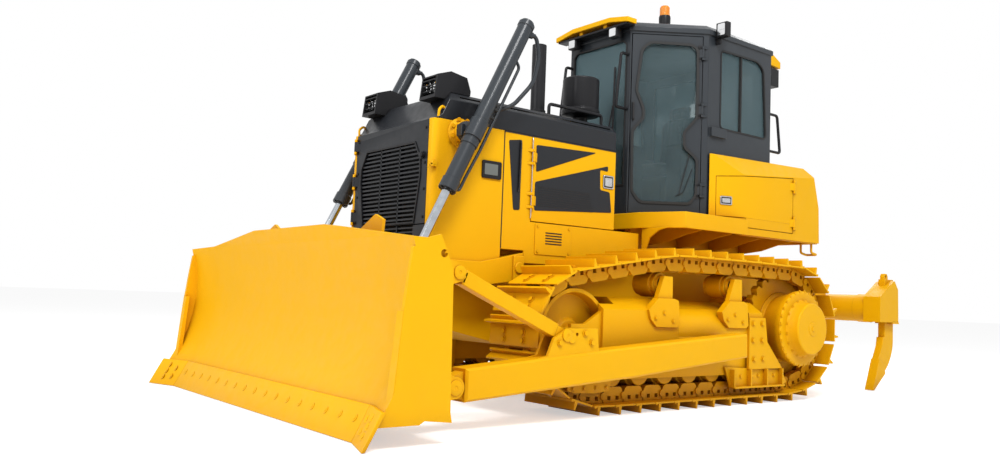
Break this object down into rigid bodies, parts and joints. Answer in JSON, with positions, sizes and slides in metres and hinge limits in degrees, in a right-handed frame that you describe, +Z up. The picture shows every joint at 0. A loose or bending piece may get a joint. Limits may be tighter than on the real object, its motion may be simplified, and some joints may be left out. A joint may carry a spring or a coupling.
{
  "type": "crawler bulldozer with blade and ripper",
  "caption": "Crawler bulldozer with a semi-U blade, enclosed cab, steel tracks and a rear three-shank ripper",
  "frame": {"origin": "on the ground below the middle of the whole machine", "axes": "+X is the machine's left side, -Y is forwards towards the blade, +Z is up"},
  "size_m": [3.4, 6.3582, 3.419],
  "materials": {
    "yellow_paint": "gloss",
    "grey_paint": "satin",
    "black_paint": "satin",
    "track_steel": "rough",
    "worn_steel": "worn",
    "chrome": "polished",
    "tinted_glass": "clear",
    "amber_lens": "gloss",
    "lamp_black": "matte",
    "seat_fabric": "woven",
    "console_plastic": "matte",
    "engine_iron": "rough"
  },
  "bodies": {
    "machine": {"track_left": "track_steel", "track_right": "track_steel", "idlers": "yellow_paint", "sprockets": "track_steel", "final_drives": "yellow_paint", "bottom_rollers": "track_steel", "carrier_rollers": "track_steel", "track_frames": "yellow_paint", "main_frame": "yellow_paint", "engine_block": "engine_iron", "radiator_guard": "yellow_paint", "hood": "yellow_paint", "side_panels": "yellow_paint", "lamp_pods": "black_paint", "exhaust_stack": "black_paint", "precleaner": "lamp_black", "deck": "yellow_paint", "fuel_tank": "yellow_paint", "cab_shell": "grey_paint", "cab_glass": "tinted_glass", "roof_visors": "yellow_paint", "beacon": "amber_lens", "cab_lamps": "lamp_black", "operator_seat": "seat_fabric", "control_consoles": "console_plastic"},
    "cab_door_left": {"cab_door_left": "grey_paint", "door_glass_left": "tinted_glass"},
    "cab_door_right": {"cab_door_right": "grey_paint", "door_glass_right": "tinted_glass"},
    "engine_door_left": {"engine_door_left": "yellow_paint"},
    "engine_door_right": {"engine_door_right": "yellow_paint"},
    "grille_door": {"grille_door": "black_paint"},
    "tank_door": {"tank_door": "yellow_paint"},
    "blade": {"blade_board": "yellow_paint", "cutting_edges": "worn_steel", "push_arms": "yellow_paint", "blade_braces": "yellow_paint"},
    "lift_barrel_left": {"lift_barrel_left": "grey_paint"},
    "lift_barrel_right": {"lift_barrel_right": "grey_paint"},
    "lift_rod_left": {"lift_rod_left": "chrome"},
    "lift_rod_right": {"lift_rod_right": "chrome"},
    "ripper": {"ripper_frame": "yellow_paint", "ripper_shanks": "yellow_paint"},
    "ripper_barrels": {"ripper_barrels": "grey_paint"},
    "ripper_rods": {"ripper_rods": "chrome"}
  },
  "joints": [
    {"name": "cab_door_left_swing", "type": "hinge", "parent": "machine", "child": "cab_door_left", "pos_m": [0.74969, 0.42158, 2.2], "axis": [0, 0, 1], "range_deg": [0, 115]},
    {"name": "cab_door_right_swing", "type": "hinge", "parent": "machine", "child": "cab_door_right", "pos_m": [-0.74969, 0.42158, 2.2], "axis": [0, 0, -1], "range_deg": [0, 115]},
    {"name": "engine_door_left_swing", "type": "hinge", "parent": "machine", "child": "engine_door_left", "pos_m": [0.5725, -1.253, 1.64], "axis": [0, 0, -1], "range_deg": [0, 100]},
    {"name": "engine_door_right_swing", "type": "hinge", "parent": "machine", "child": "engine_door_right", "pos_m": [-0.5725, -1.253, 1.64], "axis": [0, 0, 1], "range_deg": [0, 100]},
    {"name": "grille_door_swing", "type": "hinge", "parent": "machine", "child": "grille_door", "pos_m": [-0.497, -2.1375, 1.6], "axis": [0, 0, 1], "range_deg": [-90, 0]},
    {"name": "tank_door_swing", "type": "hinge", "parent": "machine", "child": "tank_door", "pos_m": [0.9125, 1.533, 1.725], "axis": [0, 0, 1], "range_deg": [0, 110]},
    {"name": "blade_lift", "type": "hinge", "parent": "machine", "child": "blade", "pos_m": [0, 0.17, 0.47], "axis": [-1, 0, 0], "range_deg": [0, 20]},
    {"name": "lift_barrel_left_swing", "type": "hinge", "parent": "machine", "child": "lift_barrel_left", "pos_m": [0.742, -1.908, 1.88], "axis": [-1, 0, 0], "range_deg": [0, 21]},
    {"name": "lift_rod_left_slide", "type": "slide", "parent": "lift_barrel_left", "child": "lift_rod_left", "axis": [0, 0.444, 0.896], "range_m": [0, 0.9]},
    {"name": "lift_barrel_right_swing", "type": "hinge", "parent": "machine", "child": "lift_barrel_right", "pos_m": [-0.742, -1.908, 1.88], "axis": [-1, 0, 0], "range_deg": [0, 21]},
    {"name": "lift_rod_right_slide", "type": "slide", "parent": "lift_barrel_right", "child": "lift_rod_right", "axis": [0, 0.444, 0.896], "range_m": [0, 0.9]},
    {"name": "ripper_lift", "type": "hinge", "parent": "machine", "child": "ripper", "pos_m": [0, 2.01, 0.7], "axis": [1, 0, 0], "range_deg": [0, 30]},
    {"name": "ripper_barrels_swing", "type": "hinge", "parent": "machine", "child": "ripper_barrels", "pos_m": [0, 1.965, 1.18], "axis": [1, 0, 0], "range_deg": [0, 28.5]},
    {"name": "ripper_rods_slide", "type": "slide", "parent": "ripper_barrels", "child": "ripper_rods", "axis": [0, -0.9765, 0.2157], "range_m": [0, 0.26]}
  ],
  "couplings": [
    {"joint": "lift_barrel_left_swing", "follows": "blade_lift", "ratio": 1.0274},
    {"joint": "lift_barrel_right_swing", "follows": "blade_lift", "ratio": 1.0274},
    {"joint": "lift_rod_left_slide", "follows": "blade_lift", "m_per_rad": 2.4974},
    {"joint": "lift_rod_right_slide", "follows": "blade_lift", "m_per_rad": 2.4974},
    {"joint": "ripper_barrels_swing", "follows": "ripper_lift", "ratio": 0.9286},
    {"joint": "ripper_rods_slide", "follows": "ripper_lift", "m_per_rad": 0.4745}
  ]
}
